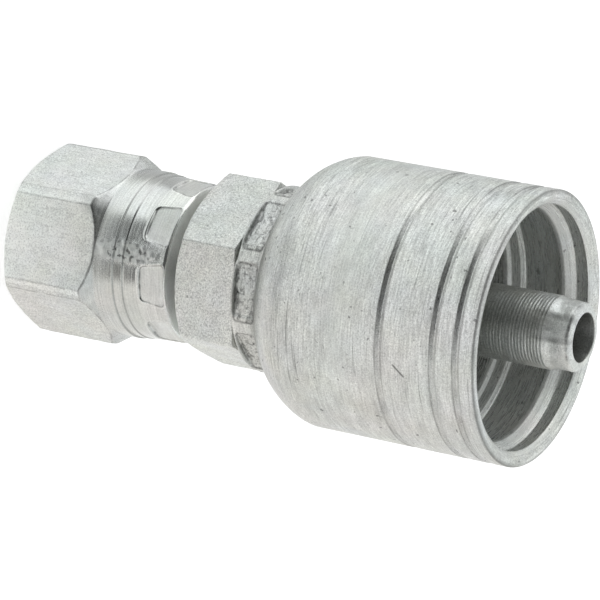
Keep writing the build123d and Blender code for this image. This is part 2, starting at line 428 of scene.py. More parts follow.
def nut_corners(hexagon):
    """The nut's section: front face, hexagon, stepped collar, end face, lip, counterbore and thread."""
    chamfer_height = (hexagon - NUT_FACE_R) * CHAMFER_SLOPE
    relief = (hexagon - COLLAR_FRONT_R) * RELIEF_SLOPE
    return [
        Corner(THREAD_MOUTH_R, 0, 0.05, 2),
        Corner(NUT_FACE_R, 0, 0.08, 2),
        Corner(hexagon, chamfer_height, 0.1, 24),
        Corner(hexagon, HEX_END - relief, 0.12, 4),
        Corner(COLLAR_FRONT_R, HEX_END, 0.06, 7),
        Corner(COLLAR_FRONT_R, STEP_ONE, 0.03, 2),
        Corner(COLLAR_MIDDLE_R, STEP_ONE + STEP_LENGTH, 0.02, 7),
        Corner(COLLAR_MIDDLE_R, STEP_TWO, 0.03, 2),
        Corner(COLLAR_BACK_R, STEP_TWO + STEP_LENGTH, 0.02, 8),
        Corner(COLLAR_BACK_R - COLLAR_TAPER, CRIMPS.start - CRIMP_RUN_IN, 0, 46),
        Corner(COLLAR_END_R, NUT_LENGTH - NUT_END_EDGE, 0.1, 2),
        Corner(COLLAR_END_R - NUT_END_EDGE, NUT_LENGTH, 0.08, 4),
        Corner(LIP_R, NUT_LENGTH, 0.06, 2),
        Corner(LIP_R, LIP_SLOPE_END, 0.05, 2),
        Corner(COUNTERBORE_R, LIP_SLOPE_START, 0.05, 4),
        Corner(COUNTERBORE_R, THREAD_END, 0, 2),
        Corner(THREAD_MINOR_R, THREAD_END, 0, 66),
        Corner(THREAD_MINOR_R, THREAD_MOUTH_R - THREAD_MINOR_R, 0, 2),
    ]


def press_crimps(nut, on_collar):
    """Presses the crimp marks into the collar. They get deeper and wider towards its end."""
    share = (nut.heights - CRIMPS.start) / (CRIMPS.end - CRIMPS.start)
    distance = CRIMP_DISTANCE_FRONT + (CRIMP_DISTANCE_BACK - CRIMP_DISTANCE_FRONT) * share
    half_width = CRIMP_HALF_WIDTH_FRONT + (CRIMP_HALF_WIDTH_BACK - CRIMP_HALF_WIDTH_FRONT) * share
    nut.sink(CRIMPS, on_collar, distance + nut.unevenness(CRIMP_GRAIN), half_width)


def add_burr(nut, on_collar):
    """Raises the lumpy smear of metal across the collar."""
    across = nut.radii * nut.turn_from(BURR.angle) / BURR.half_width
    along = (nut.heights - BURR.height) / BURR.half_length
    inside = smooth((BURR_EDGE - np.hypot(across, along)) / BURR_EDGE_WIDTH)
    nut.raise_by(on_collar, BURR_RISE * inside * (BURR_BASE + nut.unevenness(BURR_LUMPS)))


def make_nut():
    """The swivel nut, with its milled hexagon, its crimped collar and its thread."""
    angles = columns(NUT_COLUMNS, NUT_ANGLE, NUT_CLUSTER)
    hexagon = np.minimum(polygon_radius(angles, NUT_FLATS, NUT_ANGLE, NUT_SHARPNESS), NUT_CORNER_R)
    nut = Section(nut_corners(hexagon), angles)
    threaded = (np.abs(nut.radii - THREAD_MINOR_R) < 1e-6) & (nut.heights < THREAD_END - 0.01)
    nut.radii = np.where(threaded, thread_radius(angles, nut.heights), nut.radii)
    outside = nut.radii > COLLAR_END_R - 0.5
    on_hexagon = outside & (nut.heights < HEX_END - 0.3)
    on_collar = outside & (nut.heights > HEX_END)
    nut.push(on_hexagon, nut.unevenness(MILLED_NUT))
    nut.raise_by(on_collar, nut.unevenness(COLLAR_WAVES))
    press_crimps(nut, on_collar)
    add_burr(nut, on_collar)
    return nut.mesh("nut_body")


# The stem

def ring_corners(ring):
    """One turned ring of the tail: its crest, slope and root. The root's depth differs by ring."""
    crest = RINGS_START + ring * RING_PITCH
    depth = RING_DEPTH * (1 + RING_VARIATION * noise.noise(Vector((ring * 0.73, 3.1, 0.4))))
    return [
        Corner(TAIL_R, crest),
        Corner(TAIL_R - depth * RING_SLOPE_SHARE, crest + RING_PITCH * RING_SLOPE_SHARE),
        Corner(TAIL_R - depth, crest + RING_PITCH * RING_ROOT_SHARE),
    ]


def stem_corners(hexagon):
    """The stem's section: seat, head, neck, hexagon, the shell's seat and groove, tail, tip and bore."""
    chamfer_height = (hexagon - STEM_FACE_R) * CHAMFER_SLOPE
    corners = [
        Corner(BORE_R, HEAD_FRONT + SEAT_DEPTH, 0.1, 6),
        Corner(SEAT_R, HEAD_FRONT, 0.06, 2),
        Corner(HEAD_R - HEAD_EDGE, HEAD_FRONT, 0.03, 2),
        Corner(HEAD_R, HEAD_FRONT + HEAD_EDGE, 0.03, 3),
        Corner(HEAD_R, HEAD_BACK, 0.06, 3),
        Corner(NECK_R, NECK_START, 0.1, 3),
        Corner(NECK_R, HEX_FRONT, 0.12, 4),
        Corner(STEM_FACE_R, HEX_FRONT, 0.12, 3),
        Corner(hexagon, HEX_FRONT + chamfer_height, 0.12, 22),
        Corner(hexagon, HEX_BACK, 0.07, 4),
        Corner(SHELL_SEAT_R, HEX_BACK, 0, 2),
        Corner(SHELL_SEAT_R, LOCK_FRONT),
        Corner(LOCK_R, LOCK_FRONT + LOCK_SLOPE, 0, 2),
        Corner(LOCK_R, LOCK_BACK - LOCK_SLOPE),
        Corner(SHELL_SEAT_R, LOCK_BACK, 0, 2),
        Corner(SHELL_SEAT_R, SEAT_END, 0.05, 3),
        Corner(TAIL_R, TAIL_START, 0.15, 4),
    ]
    for ring in range(round((RINGS_END - RINGS_START) / RING_PITCH)):
        corners += ring_corners(ring)
    corners += [
        Corner(TAIL_R, RINGS_END, 0.03),
        Corner(TIP_R, RINGS_END + TIP_TAPER, 0.2, 6),
        Corner(TIP_R, TIP_END - TIP_EDGE_START, 0.12, 2),
        Corner(TIP_FACE_R, TIP_END - TIP_EDGE_END, 0.06, 4),
        Corner(BORE_R + BORE_EDGE_WIDTH, TIP_END, 0.05),
        Corner(BORE_R, TIP_END - BORE_EDGE_DEPTH, 0.04, 12),
    ]
    return corners


def make_stem():
    """The stem, with its milled hexagon, the fine rings of its tail and its battered tip."""
    angles = columns(STEM_COLUMNS, STEM_ANGLE, STEM_CLUSTER)
    hexagon = polygon_radius(angles, STEM_FLATS, STEM_ANGLE, STEM_SHARPNESS)
    stem = Section(stem_corners(hexagon), angles)
    along_hexagon = (stem.heights > HEX_FRONT - 0.01) & (stem.heights < HEX_BACK + 0.01)
    stem.push(along_hexagon & (stem.radii > STEM_FACE_R - 0.1), stem.unevenness(MILLED_STEM))
    on_rings = (stem.radii > BORE_R + 0.5) & (stem.heights > RINGS_START) & (stem.heights < RINGS_END + 0.1)
    on_tip = (stem.radii > BORE_R + 0.3) & (stem.heights > RINGS_END + 0.1)
    uneven = stem.unevenness(RING_WEAR)
    battered = stem.unevenness(TIP_WEAR)
    stem.raise_by(on_rings, uneven)
    stem.raise_by(on_tip, battered)
    return stem.mesh("stem_body")


# The shell

def shoulder_corners():
    """The rounded shoulder between neck and barrel, as a quarter of a superellipse."""
    corners = []
    rise = SHELL_R - SHELL_NECK_R - SHOULDER_FOOT
    for step in range(SHOULDER_STEPS + 1):
        turn = pi / 2 * step / SHOULDER_STEPS
        along = 1 - max(cos(turn), 0.0) ** (2 / SHOULDER_FULLNESS)
        outward = np.sin(turn) ** (2 / SHOULDER_FULLNESS)
        radius = SHELL_NECK_R + SHOULDER_FOOT + outward * rise
        corners.append(Corner(radius, SHOULDER_START + along * SHOULDER_LENGTH, 0, 2))
    return corners


def bite_ridge_corners():
    """The ridge behind the mouth, from the mouth's side to the floor's."""
    return [
        Corner(GROOVE_BORE_R, BITE_RIDGE + BITE_FLANK, 0.08, 4),
        Corner(BITE_RIDGE_R, BITE_RIDGE, 0.07, 2),
        Corner(BITE_RIDGE_R, BITE_RIDGE - BITE_WIDTH, 0.06, 2),
        Corner(GROOVE_BORE_R, BITE_RIDGE - BITE_WIDTH - RIDGE_FLANK, 0.1, 6),
    ]


def grip_ridge_corners(front):
    """One grip ridge, from the mouth's side to the floor's: a wide low step and a narrow high one."""
    high_front = front - GRIP_LOW_WIDTH - RIDGE_FLANK
    high_back = high_front - GRIP_HIGH_WIDTH
    return [
        Corner(GROOVE_BORE_R, front + RIDGE_FLANK, 0.08, 2),
        Corner(GRIP_LOW_R, front, 0.07, 2),
        Corner(GRIP_LOW_R, front - GRIP_LOW_WIDTH, 0.06, 2),
        Corner(GRIP_HIGH_R, high_front, 0.08, 2),
        Corner(GRIP_HIGH_R, high_back, 0.08, 2),
        Corner(GROOVE_BORE_R, high_back - RIDGE_FLANK, 0.1, 4),
    ]


def groove_corners(start):
    """One shallow groove turned into the outside, with a steep side towards the neck."""
    return [
        Corner(SHELL_R, start, 0.06, 2),
        Corner(SHELL_R - OUTER_GROOVE_DEPTH, start + OUTER_GROOVE_FLANK, 0.05, 2),
        Corner(SHELL_R, start + OUTER_GROOVE_WIDTH, 0.05, 3),
    ]


def shell_corners():
    """The shell's section: neck, shoulder, grooved barrel, mouth, ridged inside, floor and beaded hole."""
    hole_r = SHELL_SEAT_R + SHELL_CLEARANCE
    bead_r = LOCK_R + SHELL_CLEARANCE
    bead_front = LOCK_FRONT + LOCK_CLEARANCE
    bead_back = LOCK_BACK - LOCK_CLEARANCE
    foot_start = SHOULDER_START - SHOULDER_FOOT
    foot_bend = SHOULDER_FOOT * SHOULDER_FOOT_SHARE
    land_height = MOUTH_HEIGHT - MOUTH_LEAD_DEPTH
    corners = [
        Corner(hole_r, HEX_BACK, 0.05, 2),
        Corner(SHELL_NECK_R - SHELL_NECK_EDGE, HEX_BACK, 0.04),
        Corner(SHELL_NECK_R, HEX_BACK + SHELL_NECK_EDGE, 0.05, 34),
        Corner(SHELL_NECK_R, foot_start),
        Corner(SHELL_NECK_R + foot_bend, SHOULDER_START - foot_bend),
        *shoulder_corners(),
    ]
    for start in OUTER_GROOVES:
        corners += groove_corners(start)
    corners += [
        Corner(SHELL_R, MOUTH_HEIGHT - RIM_EDGE, 0.07),
        Corner(SHELL_R - RIM_EDGE, MOUTH_HEIGHT, 0.07, 2),
        Corner(MOUTH_R + MOUTH_LEAD_WIDTH, MOUTH_HEIGHT, 0.1, 2),
        Corner(MOUTH_R, land_height, 0.1),
        Corner(MOUTH_R, land_height - MOUTH_LAND, 0.06),
        Corner(GROOVE_BORE_R, land_height - MOUTH_LAND - RIDGE_FLANK, 0.08, 2),
        *bite_ridge_corners(),
    ]
    for front in GRIP_RIDGES:
        corners += grip_ridge_corners(front)
    corners += [
        Corner(GROOVE_BORE_R, FLOOR_HEIGHT + FLOOR_SLOPE, 0.4, 2),
        Corner(GROOVE_BORE_R - FLOOR_SLOPE, FLOOR_HEIGHT, 0.4, 3),
        Corner(hole_r, FLOOR_HEIGHT, 0.05, 2),
        Corner(hole_r, bead_back),
        Corner(bead_r, bead_back - LOCK_SLOPE, 0, 2),
        Corner(bead_r, bead_front + LOCK_SLOPE),
        Corner(hole_r, bead_front),
    ]
    return corners


def make_shell():
    """The shell, staked on its neck and slightly wavy on its shoulder."""
    angles = np.arange(SHELL_COLUMNS) / SHELL_COLUMNS * 2 * pi
    shell = Section(shell_corners(), angles)
    on_neck = (shell.radii > SHELL_NECK_R - 0.25) & (shell.heights < SHOULDER_START)
    shell.sink(STAKES, on_neck, STAKE_DISTANCE + shell.unevenness(STAKE_GRAIN), STAKE_HALF_WIDTH)
    shoulder_end = SHOULDER_START + SHOULDER_LENGTH
    along_shoulder = (shell.heights > SHOULDER_START) & (shell.heights < shoulder_end)
    shell.push(along_shoulder & (shell.radii > SHELL_NECK_R + 0.1), shell.unevenness(SHOULDER_WAVES))
    return shell.mesh("shell_body")


# Building blocks of the materials

class Nodes:
    """Short calls for building one node tree. A value is a number or the output of a node."""

    def __init__(self, tree):
        self.tree = tree

    def node(self, kind, **settings):
        """A new node with some of its settings."""
        made = self.tree.nodes.new(kind)
        for key, value in settings.items():
            setattr(made, key, value)
        return made

    def link(self, value, target):
        """Gives an input its value."""
        if hasattr(value, "is_output"):
            self.tree.links.new(value, target)
        else:
            target.default_value = value

    def math(self, operation, first, second=0.0):
        """The result of one sum. An operation on one value ignores the second."""
        made = self.node("ShaderNodeMath", operation=operation)
        self.link(first, made.inputs[0])
        self.link(second, made.inputs[1])
        return made.outputs[0]

    def product(self, first, *others):
        """All the values multiplied."""
        for other in others:
            first = self.math("MULTIPLY", first, other)
        return first

    def most(self, first, *others):
        """The largest of the values."""
        for other in others:
            first = self.math("MAXIMUM", first, other)
        return first

    def length(self, x, y):
        """Length of the line to the point at x and y."""
        return self.math("SQRT", self.math("ADD", self.math("MULTIPLY", x, x), self.math("MULTIPLY", y, y)))

    def dot(self, vector, side):
        """Dot product of a vector and a fixed direction."""
        made = self.node("ShaderNodeVectorMath", operation="DOT_PRODUCT")
        self.link(vector, made.inputs[0])
        made.inputs[1].default_value = side
        return made.outputs["Value"]

    def combine(self, x, y, z):
        """A vector or colour of three values."""
        made = self.node("ShaderNodeCombineXYZ")
        for value, target in zip((x, y, z), made.inputs):
            self.link(value, target)
        return made.outputs[0]

    def ramp(self, value, low, high, out_low=0.0, out_high=1.0, course="LINEAR"):
        """Value carried from the span low to high to another span, and held at its ends."""
        made = self.node("ShaderNodeMapRange", clamp=True, interpolation_type=course)
        self.link(value, made.inputs["Value"])
        for key, number in (("From Min", low), ("From Max", high), ("To Min", out_low), ("To Max", out_high)):
            made.inputs[key].default_value = number
        return made.outputs[0]

    def rest(self, share):
        """What a share leaves of 1."""
        return self.math("SUBTRACT", 1.0, share)

    def blend(self, share, first, second):
        """Value between first, at share 0, and second, at share 1."""
        gained = self.math("MULTIPLY", second, share)
        return self.math("ADD", gained, self.math("MULTIPLY", first, self.rest(share)))

    def swing(self, value, amount):
        """A factor about 1 which follows a value about 0.5."""
        return self.ramp(value, 0, 1, 1 - amount / 2, 1 + amount / 2)

    def dim(self, share, loss):
        """A factor that is 1 at share 0 and falls by loss at share 1."""
        return self.ramp(share, 0, 1, 1, 1 - loss)

    def dimmed(self, level, losses):
        """Level after all losses, each a share and what is lost where it is 1. A negative loss brightens."""
        for share, loss in losses:
            level = self.math("MULTIPLY", level, self.dim(share, loss))
        return level

    def band(self, value, middle, half_width):
        """1 in the middle of a band, falling to 0 at half_width from it."""
        away = self.math("ABSOLUTE", self.math("SUBTRACT", value, middle))
        return self.ramp(away, 0, half_width, 1, 0)


class Surface(Nodes):
    """The nodes of one material. Radius and height are in millimetres, and the angle is in radians."""

    def __init__(self, name):
        self.material = bpy.data.materials.new(name)
        self.material.use_nodes = True
        super().__init__(self.material.node_tree)
        self.shader = self.tree.nodes["Principled BSDF"]
        self.place = self.node("ShaderNodeTexCoord").outputs["Object"]
        split = self.node("ShaderNodeSeparateXYZ")
        self.link(self.place, split.inputs[0])
        self.x, self.y, z = split.outputs
        self.radius = self.math("MULTIPLY", self.length(self.x, self.y), 1 / MM)
        self.angle = self.math("ARCTAN2", self.y, self.x)
        self.height = self.math("MULTIPLY", z, 1 / MM)

    def noise(self, scale, detail=2.0, roughness=0.5, place=None):
        """Smooth noise about 0.5, with scale waves a metre."""
        made = self.node("ShaderNodeTexNoise")
        self.link(self.place if place is None else place, made.inputs["Vector"])
        for key, number in (("Scale", scale), ("Detail", detail), ("Roughness", roughness)):
            made.inputs[key].default_value = number
        return made.outputs["Fac"]

    def drawn_place(self, share):
        """The place with its height shrunk to a share, which draws noise out along the axis."""
        made = self.node("ShaderNodeMapping")
        self.link(self.place, made.inputs["Vector"])
        made.inputs["Scale"].default_value = (1, 1, share)
        return made.outputs[0]

    def lines(self, spacing, streak, slant=0.0):
        """Fine lines round the axis, varied slowly along them. Slant makes them follow the radius."""
        course = self.math("ADD", self.math("MULTIPLY", self.height, 1 / spacing),
                           self.math("MULTIPLY", self.radius, slant / spacing))
        east = self.math("MULTIPLY", self.math("COSINE", self.angle), streak)
        north = self.math("MULTIPLY", self.math("SINE", self.angle), streak)
        return self.noise(1.0, 3.0, 0.6, place=self.combine(course, east, north))

    def turn_from(self, first, count=1):
        """Angle in radians from the nearest of count even marks round the axis, one of them at first."""
        made = self.node("ShaderNodeMath", operation="WRAP")
        self.link(self.math("SUBTRACT", self.angle, radians(first)), made.inputs[0])
        made.inputs[1].default_value = pi / count
        made.inputs[2].default_value = -pi / count
        return made.outputs[0]

    def sector(self, middle, half_width):
        """1 at one angle round the axis, falling to 0 at half_width degrees from it."""
        return self.band(self.turn_from(middle), 0.0, radians(half_width))

    def on_flat(self, middle):
        """1 on the flat of a hexagon which faces that angle."""
        away = self.math("ABSOLUTE", self.turn_from(middle))
        return self.ramp(away, radians(31), radians(29))

    def flat_edge(self, flats, half_width):
        """Distance outside the edge of the nearest pressed flat, negative on the flat."""
        turn = self.turn_from(flats.first, flats.count)
        across = self.math("ABSOLUTE", self.math("MULTIPLY", self.radius, self.math("SINE", turn)))
        along = self.math("ABSOLUTE", self.math("SUBTRACT", self.height, (flats.start + flats.end) / 2))
        side = self.math("SUBTRACT", across, self.math("SUBTRACT", half_width, flats.round_by))
        end = self.math("SUBTRACT", along, (flats.end - flats.start) / 2 - flats.round_by)
        outside = self.length(self.most(side, 0.0), self.most(end, 0.0))
        inside = self.math("MINIMUM", self.most(side, end), 0.0)
        return self.math("SUBTRACT", self.math("ADD", outside, inside), flats.round_by)

    def on_spot(self, spot):
        """1 inside a spot of wear, stain or painted reflection, falling to 0 round it."""
        across = self.product(self.radius, self.turn_from(spot.angle), 1 / spot.half_width)
        along = self.math("MULTIPLY", self.math("SUBTRACT", self.height, spot.height), 1 / spot.half_length)
        return self.ramp(self.length(across, along), 1 - spot.soft, 1 + spot.soft, 1, 0)

    def scratch(self, start, end, surface_r, half_width):
        """1 on a thin straight mark between two places, each an angle and a height."""
        span_across = surface_r * radians(end[0] - start[0])
        span_along = end[1] - start[1]
        length = hypot(span_across, span_along)
        across = self.product(self.turn_from(start[0]), surface_r)
        along = self.math("SUBTRACT", self.height, start[1])
        share = self.math("ADD", self.math("MULTIPLY", across, span_across / length ** 2),
                          self.math("MULTIPLY", along, span_along / length ** 2))
        off = self.math("SUBTRACT", self.math("MULTIPLY", across, span_along / length),
                        self.math("MULTIPLY", along, span_across / length))
        return self.product(self.band(off, 0.0, half_width), self.ramp(self.band(share, 0.5, 0.5), 0.0, 0.2))

    def bump(self, height, strength, distance, normal=None):
        """The surface's normal, tilted by a relief of that distance on top of another normal."""
        made = self.node("ShaderNodeBump")
        made.inputs["Strength"].default_value = strength
        made.inputs["Distance"].default_value = distance * MM
        self.link(height, made.inputs["Height"])
        if normal is not None:
            self.link(normal, made.inputs["Normal"])
        return made.outputs[0]

    def finish(self, level, roughness, normal, metallic):
        """Gives the shader a slightly green grey with faint warm and cool patches, and its other values."""
        level = self.math("MINIMUM", level, LEVEL_LIMIT)
        red = self.product(level, self.swing(self.noise(230, 2.0), 0.1), RED_SHARE)
        blue = self.product(level, self.swing(self.noise(310, 3.0), 0.12), BLUE_SHARE)
        self.link(self.combine(red, level, blue), self.shader.inputs["Base Color"])
        self.link(roughness, self.shader.inputs["Roughness"])
        self.link(normal, self.shader.inputs["Normal"])
        self.link(metallic, self.shader.inputs["Metallic"])


# Materials. A level is how light the metal is, and a loss is the part of it that a mark takes away.

def crimp_marks(nodes):
    """The faces of the nut's crimp marks, the line just inside their edge and the rim just outside it."""
    half_width = nodes.ramp(nodes.height, CRIMPS.start, CRIMPS.end,
                            CRIMP_HALF_WIDTH_FRONT, CRIMP_HALF_WIDTH_BACK)
    edge = nodes.flat_edge(CRIMPS, half_width)
    outside = nodes.ramp(nodes.radius, COLLAR_END_R - 0.6, COLLAR_END_R - 0.5)
    face = nodes.product(nodes.ramp(edge, 0.0, -0.06), outside)
    line = nodes.product(nodes.band(edge, -0.02, 0.08), outside)
    rim = nodes.product(nodes.band(edge, 0.15, 0.13), outside)
    return face, line, rim


def nut_flat_level(nodes, grain):
    """Level of the nut's milled flats, drawn out along the axis, with a line of wear where the corners start
    and painted shade on two flats.
    """
    drawn = nodes.noise(4200, 2.0, place=nodes.drawn_place(0.08))
    specks = nodes.ramp(nodes.noise(3300, 1.0), 0.3, 0.24)
    from_corner = nodes.math("ABSOLUTE", nodes.turn_from(NUT_ANGLE, 6))
    corner_line = nodes.product(nodes.band(from_corner, radians(NUT_CORNER_TURN), 0.016),
                                nodes.ramp(nodes.noise(900, 1.0), 0.35, 0.5, 0.25, 1.0))
    return nodes.dimmed(nodes.product(nodes.swing(grain, 2.1), nodes.swing(drawn, 0.3), NUT_FLAT_LEVEL), (
        (specks, 0.25),
        (corner_line, 0.3),
        # Painted shade: the flats facing towards -X and towards +X are darker
        (nodes.on_flat(NUT_ANGLE + 210), 0.13),
        (nodes.on_flat(NUT_ANGLE - 30), 0.17),
    ))


def nut_material():
    """Zinc plating of the nut: matt milled flats, a polished turned collar and bright crimp marks."""
    nodes = Surface("nut_zinc")
    grain = nodes.noise(8000, 3.0, 0.8)
    cloud = nodes.noise(500, 3.0, 0.6)
    broken = nodes.ramp(nodes.noise(1300, 1.0), 0.4, 0.55, 0.3, 1.0)
    lines = nodes.lines(0.13, 2.0)

    # The hexagon's back is turned to a cone, so its edge follows the radius
    cone = nodes.math("ADD", nodes.height,
                      nodes.product(nodes.math("SUBTRACT", nodes.radius, COLLAR_FRONT_R), RELIEF_SLOPE))
    turned = nodes.ramp(cone, HEX_END - 0.12, HEX_END - 0.04)
    # Shade painted as a dark line in the crease where the cone meets the collar
    crease_shade = nodes.product(nodes.band(cone, HEX_END - 0.08, 0.1),
                         nodes.ramp(nodes.radius, COLLAR_FRONT_R - 0.03, COLLAR_FRONT_R + 0.07))
    # Painted shade at the collar's two steps, which dims the bright reflection on their slopes
    steps = nodes.most(nodes.band(nodes.height, STEP_ONE + 0.05, 0.1),
                       nodes.band(nodes.height, STEP_TWO + 0.05, 0.1))
    face, line, rim = crimp_marks(nodes)

    # Wear, and the end face, which is painted lighter with painted shade on one side
    smear = nodes.product(nodes.on_spot(BURR), turned)
    smear_specks = nodes.product(smear, nodes.ramp(nodes.noise(2300, 3.0), 0.45, 0.38))
    stain = nodes.product(nodes.on_spot(STAIN), nodes.ramp(grain, 0.35, 0.6))
    end_face = nodes.ramp(nodes.height, NUT_LENGTH - 0.06, NUT_LENGTH - 0.02)
    # Shade painted on one side of the end face, where the gap shades it
    painted_end_shade = nodes.product(end_face, nodes.sector(281, 42))

    turned_level = nodes.product(nodes.swing(lines, 0.6), nodes.swing(grain, 0.8), NUT_COLLAR_LEVEL)
    level = nodes.blend(turned, nut_flat_level(nodes, grain), turned_level)
    level = nodes.dimmed(nodes.product(level, nodes.swing(cloud, 0.3)), (
        (nodes.product(line, broken), 0.6),
        (rim, -0.08),
        (steps, 0.4),
        (nodes.product(crease_shade, broken), 0.5),
        (face, -0.16),
        # Painted light and shade: the end face in the gap is painted lighter, and darker on one side
        (end_face, -0.6),
        (painted_end_shade, 0.45),
        (smear, -0.1),
        (smear_specks, 0.7),
        (stain, 0.2),
    ))

    # The turning lines show only on the collar, and neither on the crimp marks nor on the smear
    plain = nodes.most(face, smear)
    on_lines = nodes.product(turned, nodes.rest(plain))
    normal = nodes.bump(nodes.product(grain, nodes.dim(on_lines, 0.8)), 0.6, 0.05)
    normal = nodes.bump(nodes.product(lines, on_lines), 0.3, 0.03, normal)
    varied = nodes.blend(plain, nodes.swing(grain, 0.5), nodes.swing(grain, 0.8))
    polished = nodes.ramp(nodes.height, HEX_END + 0.3, STEP_TWO + 0.8,
                          COLLAR_FRONT_ROUGHNESS, COLLAR_BACK_ROUGHNESS)
    on_collar = nodes.blend(plain, nodes.product(varied, polished),
                            nodes.product(varied, NUT_MARK_ROUGHNESS))
    on_flats = nodes.product(nodes.swing(grain, 0.4), NUT_FLAT_ROUGHNESS)
    roughness = nodes.blend(turned, on_flats, on_collar)
    nodes.finish(level, roughness, normal, metallic=nodes.dim(end_face, 0.9))
    return nodes.material


def tail_level(nodes, grain):
    """Level of the tail, lighter at the tip: painted shade near the shell and on one side, dark bands painted
    on the tip as reflections, and a dark edge at its end.
    """
    turned = nodes.swing(nodes.lines(0.16, 3.0), 0.5)
    on_tip = nodes.ramp(nodes.height, RINGS_END - 0.3, RINGS_END + 0.3)
    # Dark bands painted on the tip as reflections
    painted_reflections = nodes.most(*(nodes.on_spot(spot) for spot in PAINTED_TIP_REFLECTIONS))
    # Shade painted on one side of the rings, round 264 degrees
    shaded_side = nodes.product(nodes.sector(264, 32), nodes.ramp(nodes.height, RINGS_END, RINGS_END - 0.6))
    # Shade painted on the tail, darker towards the shell's mouth
    painted_shell_shade = nodes.ramp(nodes.height, SHELL_SHADE_START, SHELL_SHADE_FULL)
    tip_edge = nodes.product(nodes.band(nodes.height, TIP_END - 0.3, 0.2),
                             nodes.ramp(nodes.sector(262, 75), 0.0, 0.3),
                             nodes.ramp(nodes.noise(2100, 2.0), 0.4, 0.55, 0.5, 1.0))
    base = nodes.blend(on_tip, TAIL_LEVEL, TIP_LEVEL)
    return nodes.dimmed(nodes.product(nodes.swing(grain, 1.6), turned, base), (
        (painted_reflections, 0.5),
        (shaded_side, 0.35),
        (painted_shell_shade, 0.22),
        (tip_edge, 0.6),
    ))


def stem_material():
    """Zinc plating of the stem: a matt hexagon and a darker ringed tail, both with painted shade, and the
    neck behind the nut, painted lighter.
    """
    nodes = Surface("stem_zinc")
    grain = nodes.noise(7500, 3.0, 0.8)
    cloud = nodes.noise(650, 3.0, 0.6)
    pores = nodes.ramp(nodes.noise(4200, 1.0), 0.34, 0.26)
    on_tail = nodes.ramp(nodes.height, TAIL_START - 0.4, TAIL_START)
    in_gap = nodes.product(nodes.ramp(nodes.height, HEX_FRONT + 0.05, HEX_FRONT),
                           nodes.ramp(nodes.height, NECK_START - 0.65, NECK_START - 0.15))
    in_bore = nodes.ramp(nodes.radius, BORE_R + 0.04, BORE_R + 0.01)
    hex_level = nodes.dimmed(nodes.product(nodes.swing(grain, 2.4), STEM_HEX_LEVEL), (
        (pores, 0.35),
        # Painted shade: the hexagon's flat facing towards -X is darker
        (nodes.on_flat(STEM_ANGLE + 210), 0.14),
    ))
    level = nodes.blend(on_tail, hex_level, tail_level(nodes, grain))
    level = nodes.dimmed(nodes.product(level, nodes.swing(cloud, 0.4)), (
        # Painted light: the neck in the narrow gap behind the nut is painted lighter, and made less metallic,
        # against the gap's shade
        (in_gap, -0.3),
        (in_bore, 0.25),
    ))
    base = nodes.blend(on_tail, STEM_HEX_ROUGHNESS, TAIL_ROUGHNESS)
    roughness = nodes.product(nodes.swing(grain, 0.4), base)
    nodes.finish(level, roughness, nodes.bump(grain, 0.7, 0.05), metallic=nodes.dim(in_gap, 0.95))
    return nodes.material


def stake_marks(nodes):
    """The faces of the shell's stakes, the trench along their edge and the crumbled places on them."""
    outside = nodes.ramp(nodes.radius, STAKE_DISTANCE - 0.3, STAKE_DISTANCE - 0.2)
    on_neck = nodes.product(outside, nodes.ramp(nodes.height, SHOULDER_START + 0.1, SHOULDER_START - 0.1))
    edge = nodes.flat_edge(STAKES, STAKE_HALF_WIDTH)
    face = nodes.product(nodes.ramp(edge, 0.05, -0.05), on_neck)
    trench = nodes.product(nodes.band(edge, -0.08, 0.16), on_neck)
    crumbs = nodes.product(face, nodes.ramp(nodes.noise(2600, 3.0, 0.7), 0.5, 0.4))
    return face, trench, crumbs


def groove_marks(nodes):
    """The steep sides of the shell's outer grooves, and the edges where they start, both painted darker as
    shade.
    """
    flanks = [nodes.band(nodes.height, start + OUTER_GROOVE_FLANK / 2, 0.24) for start in OUTER_GROOVES]
    edges = [nodes.band(nodes.height, start + 0.03, 0.09) for start in OUTER_GROOVES]
    flank = nodes.product(nodes.ramp(nodes.most(*flanks), 0.0, 0.4),
                          nodes.ramp(nodes.radius, SHELL_R - 0.25, SHELL_R - 0.2))
    edge = nodes.product(nodes.ramp(nodes.most(*edges), 0.0, 0.6),
                         nodes.ramp(nodes.radius, SHELL_R - 0.35, SHELL_R - 0.25))
    return flank, edge


